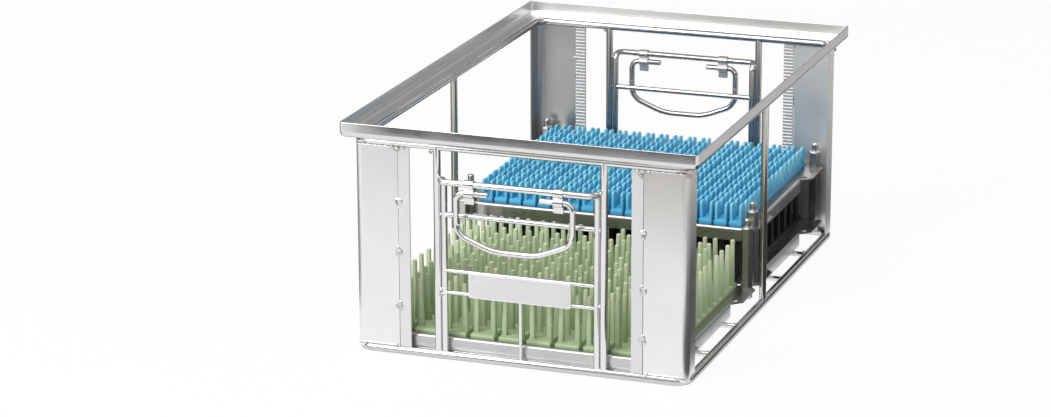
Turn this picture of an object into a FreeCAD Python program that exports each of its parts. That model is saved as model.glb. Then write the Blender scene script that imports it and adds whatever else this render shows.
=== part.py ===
import FreeCAD, Part
import math
import os

# Instrument tray carrier, millimetres. Origin on the floor under the middle,
# +X to the right along the front, -Y to the front, +Z up.

# Stacking rim
rim_width = 400.0
rim_depth = 600.0
total_height = 258.0
rim_lip = 17.0
rim_ledge = 17.0
rim_sheet = 1.5
rim_bend = 5.0
rim_corner = 4.0

# Round wire
bottom_ring_wire = 10.0
top_ring_wire = 8.0
upright_wire = 8.0
handle_frame_wire = 7.0
cross_rod_wire = 6.0
label_rod_wire = 4.6
drop_wire = 4.2
bail_wire = 6.5
support_wire = 6.0
ring_corner = 15.0

# Corner posts and rack strips
post_inset = 12.3
post_sheet = 1.5
post_wide = 50.0
post_narrow = 26.0
post_bend = 6.0
post_over_ring = 2.5
strip_width = 13.0
strip_sheet = 1.6
ridge_height = 2.0
ridge_pitch = 4.0

# Grilles
upright_spacing = 187.6
weld_gap = 0.3
handle_reach = 15.0
handle_bar_height = 203.0
handle_bend = 7.4
cross_rod_height = 163.0
label_rod_top = 100.4
label_rod_bottom = 76.0
support_rod_places = (-190.0, -90.0, 90.0, 190.0)

# Label plate
plate_width = 116.0
plate_height = 28.0
plate_sheet = 1.2
plate_middle = 87.0
card_border = 2.0
card_thickness = 0.5

# Drop handles
bail_below_bar = 10.0
bail_width = 137.3
bail_drop = 65.0
bail_side = 45.5
bail_flat = 50.0
bail_top_bend = 9.0
bail_low_bend = 19.0
bail_flat_bend = 60.0
stub_end = 29.0
clip_place = 50.0
clip_width = 11.0
clip_sheet = 1.4
clip_waist = 2.2
clip_play = 0.3
clip_tail = 11.5
front_handle_shift = -1.5
back_handle_shift = -4.5

# Lift-out trays, three alike
tray_sheet = 1.5
tray_flange = 15.0
tray_bend = 3.0
tray_corner = 9.0
tray_recess = 11.5
tray_ear = 56.0
tray_end_gap = 1.2
tray_side_gap = 1.2
tray_middle_gap = 3.0
tray_seat_gap = 0.3
ear_hole = 6.5
ear_hole_inset = 9.5
slot_length = 62.0
slot_width = 10.0
slot_columns = 5
slot_rows = 3

# Stand-offs with stacking pins
pin_diameter = 7.5
pin_height = 10.0
pin_chamfer = 1.4
seated_pin_draft = 0.3
pin_inset_x = 10.5
pin_inset_y = 9.5
hex_flats = 12.0
front_leg = 72.0
rear_leg = 64.0
upper_leg = 19.5
socket_play = 0.4

# Silicone finger mats
mat_margin_end = 6.0
mat_margin_side = 7.5
blue_base = 5.5
blue_finger = (3.4, 12.8, 19.0)
blue_taper = 0.6
blue_rows = 15
blue_pitch = 17.6
blue_leg_gap = 10.8
green_base = 4.5
green_finger = (6.0, 6.0, 53.0)
green_taper = 1.6
green_rows = 13
green_pitch = 32.1
green_leg_gap = 19.4
black_base = 4.5
black_finger = (6.0, 6.0, 53.0)
black_taper = 1.6
black_rows = 10
black_pitch = 35.0
black_leg_gap = 19.4

# Worked out from the values above
ledge_top = total_height - rim_lip + rim_sheet
ledge_under = total_height - rim_lip
post_x = rim_width / 2 - post_inset
post_y = rim_depth / 2 - post_inset
ring_x = post_x - post_over_ring
ring_y = post_y - post_over_ring
bottom_ring_z = bottom_ring_wire / 2
top_ring_z = ledge_under - top_ring_wire / 2
upright_x = upright_spacing / 2
leg_x = upright_x - upright_wire / 2 - weld_gap - handle_frame_wire / 2
bar_y = ring_y + handle_reach
hinge_z = handle_bar_height - bail_below_bar
support_top = bottom_ring_z + support_wire / 2
lower_floor = support_top + tray_seat_gap + tray_flange
upper_floor = lower_floor + rear_leg + tray_seat_gap + tray_sheet
tray_end = ring_y - upright_wire / 2 - tray_end_gap
tray_start = tray_middle_gap / 2
tray_width = 2 * (ring_x - upright_wire / 2 - tray_side_gap)

V = FreeCAD.Vector


def box(x0, x1, y0, y1, z0, z1):
    return Part.makeBox(x1 - x0, y1 - y0, z1 - z0, V(x0, y0, z0))


def bent_wire(points, radii, diameter):
    """Round wire in straight runs through the points, with a tangent bend at each corner."""
    pieces = []
    start = points[0]
    for k in range(1, len(points)):
        here = points[k]
        along = (here - start).normalize()
        if k == len(points) - 1:
            pieces.append(straight_wire(start, here, diameter))
            break
        onwards = (points[k + 1] - here).normalize()
        turn = along.getAngle(onwards)
        reach = radii[k - 1] * math.tan(turn / 2)
        bend_start = here - along * reach
        if (bend_start - start).Length > 1e-6:
            pieces.append(straight_wire(start, bend_start, diameter))
        axis = along.cross(onwards).normalize()
        centre = bend_start + axis.cross(along) * radii[k - 1]
        section = Part.Face(Part.Wire(Part.makeCircle(diameter / 2, bend_start, along)))
        pieces.append(section.revolve(centre, axis, math.degrees(turn)))
        start = here + onwards * reach
    return pieces[0].fuse(pieces[1:])


def straight_wire(start, end, diameter):
    along = end - start
    return Part.makeCylinder(diameter / 2, along.Length, start, along)


def ring(half_x, half_y, height, diameter):
    """A closed rectangular ring of round wire, as two bent halves."""
    right = bent_wire([V(0, -half_y, height), V(half_x, -half_y, height),
                       V(half_x, half_y, height), V(0, half_y, height)], [ring_corner] * 2, diameter)
    left = right.mirror(V(0, 0, 0), V(1, 0, 0))
    return right.fuse(left).removeSplitter()


def stacking_rim():
    """Folded rim: an upright lip, a round bend below it and a ledge that goes inwards."""
    def pan(inset, floor, bend, corner):
        block = box(-rim_width / 2 + inset, rim_width / 2 - inset,
                    -rim_depth / 2 + inset, rim_depth / 2 - inset, floor, total_height + inset)
        uprights = [e for e in block.Edges if abs(e.BoundBox.ZLength) > 1]
        block = block.makeFillet(corner, uprights)
        low = [e for e in block.Edges if e.BoundBox.ZMax < floor + 1e-6]
        return block.makeFillet(bend, low)
    outer = pan(0, ledge_under, rim_bend, rim_corner + rim_bend)
    inner = pan(rim_sheet, ledge_top, rim_bend - rim_sheet, rim_corner + rim_bend - rim_sheet)
    mouth = box(-rim_width / 2 + rim_ledge, rim_width / 2 - rim_ledge,
                -rim_depth / 2 + rim_ledge, rim_depth / 2 - rim_ledge,
                ledge_under - rim_bend, total_height)
    return outer.cut(inner).cut(mouth)


def corner_post(side_x, side_y, bottom, top):
    """Folded corner post: a wide face to the front or back and a narrow side flange."""
    r, t = post_bend, post_sheet
    wide, narrow = post_wide, post_narrow
    bend = r * (1 - math.sqrt(0.5))
    inner = r - (r - t) * math.sqrt(0.5)
    edges = [Part.makeLine(V(r, 0, 0), V(wide, 0, 0)), Part.makeLine(V(wide, 0, 0), V(wide, t, 0)),
             Part.makeLine(V(wide, t, 0), V(r, t, 0)),
             Part.Arc(V(r, t, 0), V(inner, inner, 0), V(t, r, 0)).toShape(),
             Part.makeLine(V(t, r, 0), V(t, narrow, 0)), Part.makeLine(V(t, narrow, 0), V(0, narrow, 0)),
             Part.makeLine(V(0, narrow, 0), V(0, r, 0)),
             Part.Arc(V(0, r, 0), V(bend, bend, 0), V(r, 0, 0)).toShape()]
    low, high = bottom_ring_z, top_ring_z
    post = Part.Face(Part.Wire(edges)).extrude(V(0, 0, high - low))
    post.translate(V(-post_x, -post_y, low))
    return seat_on_rings(place_in_corner(post, side_x, side_y), bottom, top)


def rack_strip(side_x, side_y, bottom, top):
    """Flat strip along the post's free edge, with ridges on the inside that locate racks."""
    low, high = bottom_ring_z, top_ring_z
    count = int((high - low) / ridge_pitch)
    outline = [V(0, 0, low), V(0, strip_sheet, low)]
    for k in range(count):
        outline.append(V(0, strip_sheet + ridge_height, low + (k + 0.5) * ridge_pitch))
        outline.append(V(0, strip_sheet, low + (k + 1) * ridge_pitch))
    outline.append(V(0, strip_sheet, high))
    outline += [V(0, 0, high), V(0, 0, low)]
    strip = Part.Face(Part.makePolygon(outline)).extrude(V(strip_width, 0, 0))
    strip.translate(V(-post_x + post_wide, -post_y, 0))
    return seat_on_rings(place_in_corner(strip, side_x, side_y), bottom, top)


def place_in_corner(shape, side_x, side_y):
    """Mirror a shape made for the front left corner into one of the four corners."""
    if side_x > 0:
        shape = shape.mirror(V(0, 0, 0), V(1, 0, 0))
    if side_y > 0:
        shape = shape.mirror(V(0, 0, 0), V(0, 1, 0))
    return shape


def seat_on_rings(shape, bottom, top):
    """Cut a shape to the round of both rings, so that it stands on one and meets the other."""
    seated = shape.cut(bottom).cut(top)
    tall = [s for s in seated.Solids if s.BoundBox.ZLength > total_height / 2]
    return tall[0]


def grille_upright(x, side_y, bottom, top):
    rod = straight_wire(V(x, side_y * ring_y, bottom_ring_z), V(x, side_y * ring_y, top_ring_z),
                        upright_wire)
    return seat_on_rings(rod, bottom, top)


def side_upright(side_x, bottom, top):
    rod = straight_wire(V(side_x * ring_x, 0, bottom_ring_z), V(side_x * ring_x, 0, top_ring_z),
                        upright_wire)
    return seat_on_rings(rod, bottom, top)


def handle_frame(side_y, bottom):
    """Two legs on the bottom ring, bent outwards at the top into a level grip bar."""
    near, far = side_y * ring_y, side_y * bar_y
    points = [V(-leg_x, near, bottom_ring_z), V(-leg_x, near, handle_bar_height),
              V(-leg_x, far, handle_bar_height), V(leg_x, far, handle_bar_height),
              V(leg_x, near, handle_bar_height), V(leg_x, near, bottom_ring_z)]
    return bent_wire(points, [handle_bend] * 4, handle_frame_wire).cut(bottom)


def rod_between_legs(height, side_y, diameter, frame):
    """A level rod welded between the two legs of a handle frame."""
    rod = straight_wire(V(-leg_x, side_y * ring_y, height), V(leg_x, side_y * ring_y, height), diameter)
    return longest_piece(rod.cut(frame))


def longest_piece(shape):
    return max(shape.Solids, key=lambda s: s.BoundBox.DiagonalLength)


def label_drop_wire(lower_rod, bottom):
    rod = straight_wire(V(0, -ring_y, bottom_ring_z), V(0, -ring_y, label_rod_bottom), drop_wire)
    return longest_piece(rod.cut(lower_rod).cut(bottom))


def label_plate():
    """Plate welded on the front of the two label rods."""
    back = -ring_y - label_rod_wire / 2
    plate = box(-plate_width / 2, plate_width / 2, back - plate_sheet, back,
                plate_middle - plate_height / 2, plate_middle + plate_height / 2)
    upright_edges = [e for e in plate.Edges if abs(e.BoundBox.YLength) > plate_sheet / 2
                     and e.BoundBox.ZLength < 1e-6]
    return plate.makeFillet(2 * plate_sheet, upright_edges)


def label_card():
    back = -ring_y - label_rod_wire / 2 - plate_sheet
    half_width, half_height = plate_width / 2 - card_border, plate_height / 2 - card_border
    return box(-half_width, half_width, back - card_thickness, back,
               plate_middle - half_height, plate_middle + half_height)


def bail(side_y, shift):
    """Drop handle: two stubs in the clips, round shoulders and a flat grip between slopes."""
    half = (bail_width - bail_wire) / 2
    y, low = side_y * bar_y, hinge_z - bail_drop + bail_wire / 2
    points = [V(shift - stub_end, y, hinge_z), V(shift - half, y, hinge_z),
              V(shift - half, y, hinge_z - bail_side), V(shift - bail_flat / 2, y, low),
              V(shift + bail_flat / 2, y, low), V(shift + half, y, hinge_z - bail_side),
              V(shift + half, y, hinge_z), V(shift + stub_end, y, hinge_z)]
    radii = [bail_top_bend, bail_low_bend, bail_flat_bend]
    radii += reversed(radii)
    return bent_wire(points, radii, bail_wire)


def handle_clips(side_y, shift):
    """Two straps, wrapped round the grip bar and a stub of the drop handle, ends pinched below."""
    rounds = [(handle_bar_height, handle_frame_wire / 2), (hinge_z, bail_wire / 2 + clip_play)]
    clips = []
    for side in (-1, 1):
        start = V(shift + side * clip_place - clip_width / 2, side_y * bar_y, 0)
        discs = [Part.Face(Part.Wire(Part.makeCircle(hole + clip_sheet, start + V(0, 0, z), V(1, 0, 0))))
                 for z, hole in rounds]
        holes = [Part.Face(Part.Wire(Part.makeCircle(hole, start + V(0, 0, z), V(1, 0, 0))))
                 for z, hole in rounds]
        waist, tail = [Part.Face(Part.makePolygon([start + V(0, y, z) for y, z in (
            (-half, low), (half, low), (half, high), (-half, high), (-half, low))])) for half, low, high in (
                (clip_waist, hinge_z, handle_bar_height), (clip_sheet, hinge_z - clip_tail, hinge_z))]
        outline = discs[0].fuse([discs[1], waist, tail]).removeSplitter().cut(holes)
        clips.append(outline.Faces[0].extrude(V(clip_width, 0, 0)))
    return Part.makeCompound(clips)


def support_rods(bottom):
    """Rods across the bottom ring that carry the lower trays."""
    rods = []
    for y in support_rod_places:
        rod = straight_wire(V(-ring_x, y, bottom_ring_z), V(ring_x, y, bottom_ring_z), support_wire)
        rods.append(longest_piece(rod.cut(bottom)))
    return Part.makeCompound(rods)


def flange_profile(outside, height, lean):
    """A bent edge in the XZ or YZ plane: a short flat, a bend and a flange that hangs down."""
    r, t = tray_bend, tray_sheet
    turn = math.sqrt(0.5)
    flat = 2 * r

    def at(inwards, down):
        along = outside - lean[0] * inwards if lean[0] else outside - lean[1] * inwards
        return V(along, 0, height - down) if lean[0] else V(0, along, height - down)
    edges = [Part.makeLine(at(flat, 0), at(r, 0)),
             Part.Arc(at(r, 0), at(r - r * turn, r - r * turn), at(0, r)).toShape(),
             Part.makeLine(at(0, r), at(0, tray_flange)),
             Part.makeLine(at(0, tray_flange), at(t, tray_flange)),
             Part.makeLine(at(t, tray_flange), at(t, r)),
             Part.Arc(at(t, r), at(r - (r - t) * turn, r - (r - t) * turn), at(r, t)).toShape(),
             Part.makeLine(at(r, t), at(flat, t)), Part.makeLine(at(flat, t), at(flat, 0))]
    return Part.Face(Part.Wire(edges))


def tray(floor, socket_holes):
    """Rear half tray: plate with four ears, and flanges bent down between and across them."""
    start, end = tray_start, tray_end
    wide = tray_width / 2
    slim = wide - tray_recess
    flat = 2 * tray_bend
    ear = tray_ear
    right = [V(wide, start + flat, 0), V(wide, start + ear, 0),
             V(slim, start + ear + tray_recess, 0), V(slim, end - ear - tray_recess, 0),
             V(wide, end - ear, 0), V(wide, end - flat, 0)]
    left = [V(-p.x, p.y, 0) for p in reversed(right)]
    outline = Part.makePolygon(right + left + [right[0]])
    sheet = Part.Face(outline).extrude(V(0, 0, -tray_sheet))
    sheet.translate(V(0, 0, floor))
    low, high = start + ear + tray_recess, end - ear - tray_recess
    for side in (-1, 1):
        trim = box(side * slim - flat, side * slim + flat, low, high, floor - tray_flange, floor + 1)
        sheet = sheet.cut(trim)
        edge = flange_profile(side * slim, floor, (side, 0)).extrude(V(0, high - low, 0))
        edge.translate(V(0, low, 0))
        sheet = sheet.fuse(edge)
    for outside, side in ((start, -1), (end, 1)):
        edge = flange_profile(outside, floor, (0, side)).extrude(V(tray_width, 0, 0))
        edge.translate(V(-wide, 0, 0))
        sheet = sheet.fuse(edge)
    holes = []
    for side_x in (-1, 1):
        for edge, inwards in ((start, 1), (end, -1)):
            holes.append(clipped_corner(side_x * wide, edge, side_x, -inwards, floor))
            x = side_x * (wide - ear_hole_inset)
            holes.append(Part.makeCylinder(ear_hole / 2, tray_sheet, V(x, edge + inwards * ear,
                                                                      floor - tray_sheet)))
    if socket_holes:
        for x, y in pin_places():
            holes.append(Part.makeCylinder(pin_diameter / 2 + socket_play, tray_sheet,
                                           V(x, y, floor - tray_sheet)))
    return sheet.cut(holes + drain_slots(floor)).removeSplitter()


def clipped_corner(x, y, side_x, side_y, floor):
    """The corner of a tray that has to go, to clear the rounded corner of the rings."""
    cut = [V(x - side_x * (tray_corner + 1), y + side_y, 0), V(x + side_x, y - side_y * (tray_corner + 1), 0),
           V(x + side_x, y + side_y, 0)]
    prism = Part.Face(Part.makePolygon(cut + [cut[0]])).extrude(V(0, 0, tray_flange + 1))
    prism.translate(V(0, 0, floor - tray_flange))
    return prism


def drain_slots(floor):
    """Slots through the plate, so that wash water runs out under the mat."""
    slots = []
    step_x = (tray_width - 2 * tray_recess) / slot_columns
    step_y = (tray_end - tray_start) / slot_rows
    for column in range(slot_columns):
        for row in range(slot_rows):
            x = (column + 0.5 - slot_columns / 2) * step_x
            y = tray_start + (row + 0.5) * step_y
            slots.append(box(x - slot_width / 2, x + slot_width / 2, y - slot_length / 2,
                             y + slot_length / 2, floor - tray_sheet, floor))
    return slots


def pin_places():
    x = tray_width / 2 - pin_inset_x
    return [(side * x, y) for side in (-1, 1) for y in (tray_start + pin_inset_y, tray_end - pin_inset_y)]


def stand_offs(floor, height, sockets, draft=0.0):
    """Hexagonal stand-offs on the ears, with chamfered pins that seat in the sockets of a tray above."""
    posts = []
    corner = hex_flats / math.sqrt(3)
    for x, y in pin_places():
        rim = [V(x + corner * math.cos(math.radians(60 * k)), y + corner * math.sin(math.radians(60 * k)),
                 floor) for k in range(6)]
        post = Part.Face(Part.makePolygon(rim + [rim[0]])).extrude(V(0, 0, height))
        foot, neck, shank = pin_diameter / 2, pin_diameter / 2 - draft, pin_height - pin_chamfer
        if draft:
            straight = Part.makeCone(foot, neck, shank, V(x, y, floor + height))
        else:
            straight = Part.makeCylinder(foot, shank, V(x, y, floor + height))
        tip = Part.makeCone(neck, neck - pin_chamfer, pin_chamfer, V(x, y, floor + height + shank))
        post = post.fuse(straight).fuse(tip)
        if sockets:
            depth = pin_height - tray_sheet - tray_seat_gap
            post = post.cut(Part.makeCylinder(pin_diameter / 2 + socket_play, depth, V(x, y, floor)))
        posts.append(post)
    return Part.makeCompound(posts)


def finger(size, taper):
    """One finger, standing on the origin and narrower at the top."""
    width, depth, height = size
    foot = [V(sx * width / 2, sy * depth / 2, 0) for sx, sy in ((-1, -1), (1, -1), (1, 1), (-1, 1))]
    head = [V(p.x * (1 - taper / width), p.y * (1 - taper / depth), height) for p in foot]
    rims = [foot, head] + [[foot[k - 1], foot[k], head[k], head[k - 1]] for k in range(4)]
    faces = [Part.Face(Part.makePolygon(rim + [rim[0]])) for rim in rims]
    solid = Part.makeSolid(Part.makeShell(faces))
    solid.fixTolerance(1e-4)
    return solid if solid.Volume > 0 else solid.reversed()


def finger_mat(floor, base, size, taper, rows, pitch, leg_gap):
    """Silicone mat: as many strips of finger pairs as the tray takes, each pair a narrow U."""
    strips = int((tray_width - 2 * (tray_recess + mat_margin_side)) / pitch)
    reach = strips * pitch / 2
    start, end = tray_start + mat_margin_end, tray_end - mat_margin_end
    solids = [box(-reach, reach, start, end, floor, floor + base)]
    one = finger(size, taper)
    step = (end - start) / rows
    for strip in range(strips):
        middle = (strip + 0.5 - strips / 2) * pitch
        for x in (middle - leg_gap / 2, middle + leg_gap / 2):
            for row in range(rows):
                copy = one.copy()
                copy.translate(V(x, start + (row + 0.5) * step, floor + base))
                solids.append(copy)
    return Part.makeCompound(solids)


def to_front(shape):
    return shape.mirror(V(0, 0, 0), V(0, 1, 0))


def frame_nodes():
    bottom = ring(ring_x, ring_y, bottom_ring_z, bottom_ring_wire)
    top = ring(ring_x, ring_y, top_ring_z, top_ring_wire)
    nodes = {"stacking_rim": stacking_rim(), "top_ring": top, "bottom_ring": bottom}
    for side_y, end in ((-1, "front"), (1, "back")):
        for side_x, hand in ((-1, "left"), (1, "right")):
            nodes["corner_post_%s_%s" % (end, hand)] = corner_post(side_x, side_y, bottom, top)
            nodes["rack_strip_%s_%s" % (end, hand)] = rack_strip(side_x, side_y, bottom, top)
            nodes["grille_upright_%s_%s" % (end, hand)] = grille_upright(side_x * upright_x, side_y,
                                                                         bottom, top)
        frame = handle_frame(side_y, bottom)
        nodes["handle_frame_" + end] = frame
        nodes["cross_rod_" + end] = rod_between_legs(cross_rod_height, side_y, cross_rod_wire, frame)
        shift = front_handle_shift if side_y < 0 else back_handle_shift
        nodes["handle_clips_" + end] = handle_clips(side_y, shift)
        nodes["drop_handle_" + end] = bail(side_y, shift)
    for side_x, hand in ((-1, "left"), (1, "right")):
        nodes["side_upright_" + hand] = side_upright(side_x, bottom, top)
    upper = rod_between_legs(label_rod_top, -1, label_rod_wire, nodes["handle_frame_front"])
    lower = rod_between_legs(label_rod_bottom, -1, label_rod_wire, nodes["handle_frame_front"])
    nodes["label_rod_top"], nodes["label_rod_bottom"] = upper, lower
    nodes["label_drop_wire"] = label_drop_wire(lower, bottom)
    nodes["label_plate"], nodes["label_card"] = label_plate(), label_card()
    nodes["support_rods"] = support_rods(bottom)
    return nodes


def tray_nodes():
    green = finger_mat(lower_floor, green_base, green_finger, green_taper, green_rows, green_pitch,
                       green_leg_gap)
    black = finger_mat(lower_floor, black_base, black_finger, black_taper, black_rows, black_pitch,
                       black_leg_gap)
    blue = finger_mat(upper_floor, blue_base, blue_finger, blue_taper, blue_rows, blue_pitch,
                      blue_leg_gap)
    return {"front_tray": to_front(tray(lower_floor, False)),
            "front_tray_stand_offs": to_front(stand_offs(lower_floor, front_leg, False)),
            "green_finger_mat": to_front(green),
            "rear_tray": tray(lower_floor, False),
            "rear_tray_stand_offs": stand_offs(lower_floor, rear_leg, False, seated_pin_draft),
            "black_finger_mat": black,
            "upper_tray": tray(upper_floor, True),
            "upper_tray_stand_offs": stand_offs(upper_floor, upper_leg, True),
            "blue_finger_mat": blue}


def main():
    os.makedirs("parts", exist_ok=True)
    nodes = frame_nodes()
    nodes.update(tray_nodes())
    for name, shape in nodes.items():
        print(name, len(shape.Solids), round(shape.Volume), shape.isValid())
        shape.exportStep("parts/%s.step" % name)


main()
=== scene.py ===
import bpy
import bmesh
import math
from mathutils import Matrix, Vector


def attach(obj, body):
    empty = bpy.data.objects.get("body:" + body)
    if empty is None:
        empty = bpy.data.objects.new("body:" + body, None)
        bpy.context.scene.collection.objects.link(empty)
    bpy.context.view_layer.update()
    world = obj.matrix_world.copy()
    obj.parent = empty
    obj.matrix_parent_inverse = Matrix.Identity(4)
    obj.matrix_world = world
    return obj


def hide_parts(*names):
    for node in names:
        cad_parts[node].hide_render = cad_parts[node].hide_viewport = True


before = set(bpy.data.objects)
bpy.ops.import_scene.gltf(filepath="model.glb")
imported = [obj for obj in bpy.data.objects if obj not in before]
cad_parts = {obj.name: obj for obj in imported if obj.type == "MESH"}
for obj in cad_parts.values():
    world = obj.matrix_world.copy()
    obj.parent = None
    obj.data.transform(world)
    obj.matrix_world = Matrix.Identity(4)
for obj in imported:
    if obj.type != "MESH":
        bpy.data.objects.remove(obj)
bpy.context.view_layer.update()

scene = bpy.context.scene
MM = 0.001
ENDS = (("front", -1), ("back", 1))
HANDS = (("left", -1), ("right", 1))
CORNERS = [(end, side_y, hand, side_x) for end, side_y in ENDS for hand, side_x in HANDS]

# Main lines of the carrier in millimetres
RIM_HALF = (200.0, 300.0)
RIM_TOP, RIM_FOOT, RIM_LEDGE = 258.0, 241.0, 17.0
RIM_SHEET, RIM_BEND, RIM_CORNER, RIM_CORNER_LEAST = 1.5, 7.0, 4.0, 0.4
RING = (185.2, 285.2)
RING_BOTTOM_Z, RING_TOP_Z, RING_CORNER = 5.0, 237.0, 15.0
POST = (187.7, 287.7)
POST_WIDE, POST_FLANGE, POST_SHEET, POST_BEND = 49.7, 26.0, 1.5, 8.0
STRIP_EDGE, STRIP_WIDTH, STRIP_SHEET = 50.35, 12.6, 1.6
RIDGE_PITCH, RIDGE_RISE, RIDGE_HALF, RIDGE_INSET = 4.0, 2.0, 1.68, 0.35
UPRIGHT_X, LEG_X = 93.8, 86.0
BAR_Y, BAR_Z, HINGE_Z, CROSS_BAR_Z = 300.2, 203.0, 193.0, 163.0
# Half the outline of a drop handle, as X from its middle and Z, and the radii of its bends
HANDLE_HALF = [(29.0, HINGE_Z), (65.4, HINGE_Z), (65.4, 147.5), (25.0, 131.25)]
HANDLE_BENDS = [9, 19, 60, 60, 19, 9]

FRAME_BEND = 7.4
LABEL_ROD_TOP_Z, LABEL_ROD_BOTTOM_Z = 100.4, 76.0
CARD_HALF, CARD_BACK_Y, CARD_FRONT_Y, CARD_BOTTOM, CARD_TOP = 56.0, -288.7, -289.2, 75.0, 99.0
SUPPORT_ROD_Y = (-190.0, -90.0, 90.0, 190.0)
LOWER_FLOOR, UPPER_FLOOR = 23.3, 89.1
TRAY_NEAR, TRAY_FAR = 1.5, 280.0
PIN_X, PIN_INSET = 169.5, 9.5

# Wire diameters in millimetres
TOP_RING_WIRE, BOTTOM_RING_WIRE, UPRIGHT_WIRE = 8.0, 10.0, 8.0
FRAME_WIRE, HANDLE_WIRE, ROD_WIRE = 7.0, 6.5, 6.0
LABEL_WIRE, LABEL_SUPPORT_WIRE = 4.6, 4.2

# Depths of fine surface relief in metres
GRAIN_DEPTH, MOTTLE_DEPTH = 0.0004, 0.0003


# Pieces as meshes

def placed(name, data):
    """A new object in the scene."""
    made = bpy.data.objects.new(name, data)
    scene.collection.objects.link(made)
    return made


def new_piece(name, shape, material, replaced, body="carrier", sharp_angle=35.0):
    """A finished piece from a mesh or a bmesh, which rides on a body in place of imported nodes."""
    mesh = mesh_from(name, shape, sharp_angle) if isinstance(shape, bmesh.types.BMesh) else shape
    piece = placed(name, mesh)
    if material:
        mesh.materials.clear()
        mesh.materials.append(material)
    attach(piece, body)
    if replaced:
        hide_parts(*replaced)
    return piece


def mesh_from(name, bm, sharp_angle=35.0):
    """Closes a bmesh into a mesh in metres, smooth but for edges sharper than the angle."""
    bmesh.ops.recalc_face_normals(bm, faces=bm.faces)
    bmesh.ops.scale(bm, vec=(MM, MM, MM), verts=bm.verts)
    mesh = bpy.data.meshes.new(name)
    bm.to_mesh(mesh)
    bm.free()
    mesh.shade_smooth()
    mesh.set_sharp_from_angle(angle=math.radians(sharp_angle))
    return mesh


def add_modifier(piece, kind, **values):
    modifier = piece.modifiers.new(kind.title(), kind)
    for key, value in values.items():
        setattr(modifier, key, value)


def soften(piece, width, segments=2, angle=35.0):
    """Small rounded edges, with flat faces kept flat in the light."""
    add_modifier(piece, "BEVEL", width=width * MM, segments=segments, limit_method="ANGLE",
                 angle_limit=math.radians(angle), harden_normals=False)
    add_modifier(piece, "WEIGHTED_NORMAL", keep_sharp=True)


def box_into(bm, low, high):
    made = bmesh.ops.create_cube(bm, size=1.0)["verts"]
    bmesh.ops.scale(bm, vec=[b - a for a, b in zip(low, high)], verts=made)
    bmesh.ops.translate(bm, vec=[(a + b) / 2 for a, b in zip(low, high)], verts=made)


def skin(bm, rings, capped=True):
    """Faces from each ring of points to the next one, and over both ends."""
    for low, high in zip(rings, rings[1:]):
        for j in range(len(low)):
            bm.faces.new((low[j - 1], low[j], high[j], high[j - 1]))
    if capped:
        bm.faces.new(rings[0][::-1])
        bm.faces.new(rings[-1])


def round_turn(sides):
    return [2 * math.pi * j / sides for j in range(sides)]


def bend_arc(bend, radius):
    """Places round a quarter bend, whose centre lies in from both outer faces by the bend's outer radius."""
    turns = [math.radians(a) for a in range(0, 91, 10)]
    return [(bend - radius * math.cos(a), bend - radius * math.sin(a)) for a in turns]


def bent_path(points, radii, closed):
    """Places and directions along straight runs joined by tangent bends."""
    degrees_per_step = 7.5
    points = [Vector(p) for p in points]
    path = []
    last = len(points) - 1
    for k, here in enumerate(points):
        if not closed and k in (0, last):
            along = (points[1] - here) if k == 0 else (here - points[k - 1])
            path.append((here, along.normalized()))
            continue
        before, after = points[k - 1], points[(k + 1) % len(points)]
        a, b = (here - before).normalized(), (after - here).normalized()
        turn = a.angle(b)
        radius = radii[k] if closed else radii[k - 1]
        start = here - a * radius * math.tan(turn / 2)
        axis = a.cross(b).normalized()
        centre = start + axis.cross(a) * radius
        count = max(2, round(math.degrees(turn) / degrees_per_step))
        for j in range(count + 1):
            spin = Matrix.Rotation(turn * j / count, 3, axis)
            path.append((centre + spin @ (start - centre), spin @ a))
    return path


def wire_into(bm, points, diameter, radii=(), closed=False, sides=24, rounded_ends=0.0):
    """Round wire swept along a bent path. Its ends can be rounded by a depth."""
    path = bent_path(points, radii, closed)
    radius = diameter / 2
    taper = [1.0]
    if rounded_ends:
        first, last = path[0], path[-1]
        path = ([(first[0] + first[1] * rounded_ends * t, first[1]) for t in (0.0, 0.35, 1.0)]
                + path[1:-1]
                + [(last[0] - last[1] * rounded_ends * t, last[1]) for t in (1.0, 0.35, 0.0)])
        taper = [1 - rounded_ends / radius * t for t in (0.9, 0.35)] + taper
    before = path[0][1]
    across = before.orthogonal().normalized()
    rings = []
    for k, (place, along) in enumerate(path):
        across = before.rotation_difference(along) @ across
        across = (across - along * across.dot(along)).normalized()
        up = along.cross(across)
        reach = radius * taper[min(k, len(path) - 1 - k, len(taper) - 1)]
        rings.append([bm.verts.new(place + (across * math.cos(t) + up * math.sin(t)) * reach)
                      for t in round_turn(sides)])
        before = along
    if closed:
        twist = min(range(sides), key=lambda s: (rings[0][s].co - rings[-1][0].co).length)
        rings.append(rings[0][twist:] + rings[0][:twist])
    skin(bm, rings, not closed)


def wire_piece(name, node, finish, points, diameter, radii=(), body="carrier", **form):
    """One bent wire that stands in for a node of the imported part."""
    bm = bmesh.new()
    wire_into(bm, points, diameter, radii, **form)
    new_piece(name, bm, finish, (node,), body)


def turned_into(bm, centre, profile, sides=24):
    """A turned or faceted form: rings of the given radius and height, closed at both ends."""
    skin(bm, [[bm.verts.new((centre[0] + radius * math.cos(t), centre[1] + radius * math.sin(t), height))
               for t in round_turn(sides)] for radius, height in profile])


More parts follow.
